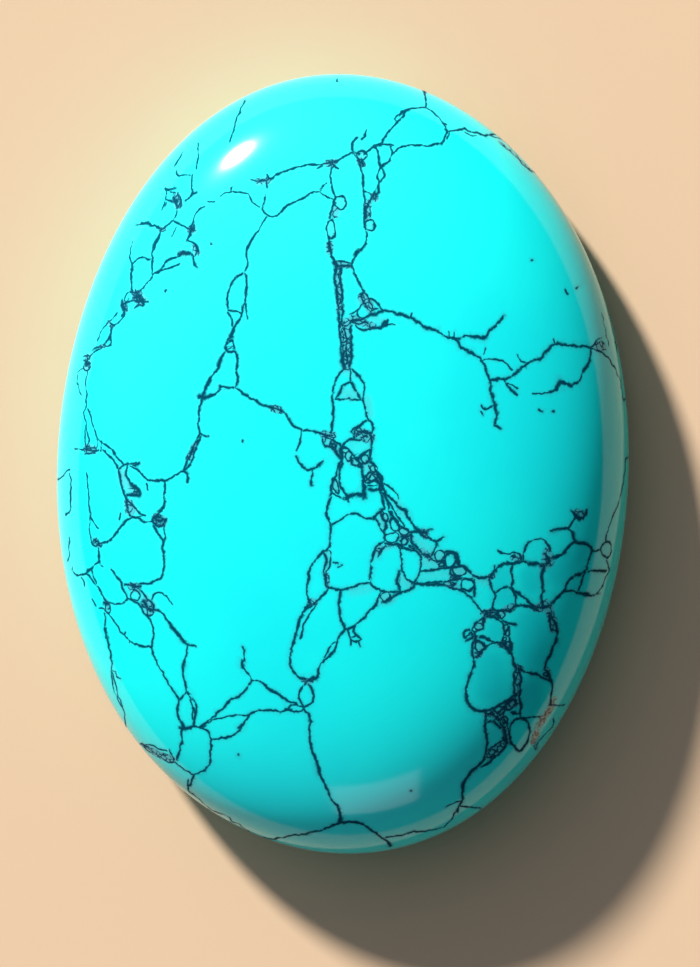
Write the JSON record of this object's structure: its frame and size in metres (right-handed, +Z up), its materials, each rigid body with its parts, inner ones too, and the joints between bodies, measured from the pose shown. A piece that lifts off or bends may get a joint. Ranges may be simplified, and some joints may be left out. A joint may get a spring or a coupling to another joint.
{
  "type": "turquoise cabochon",
  "caption": "Polished oval turquoise stone with a smooth low dome, a rounded edge, a flat back and dark spiderweb matrix veins.",
  "frame": {"origin": "centre of the flat back, on the surface that the stone rests on", "axes": "+Z up out of the dome, +Y along the stone's length, +X across its width"},
  "size_m": [0.0292, 0.0398, 0.0088],
  "materials": {
    "turquoise": "polished"
  },
  "bodies": {
    "root": {"turquoise_stone": "turquoise"}
  },
  "joints": []
}
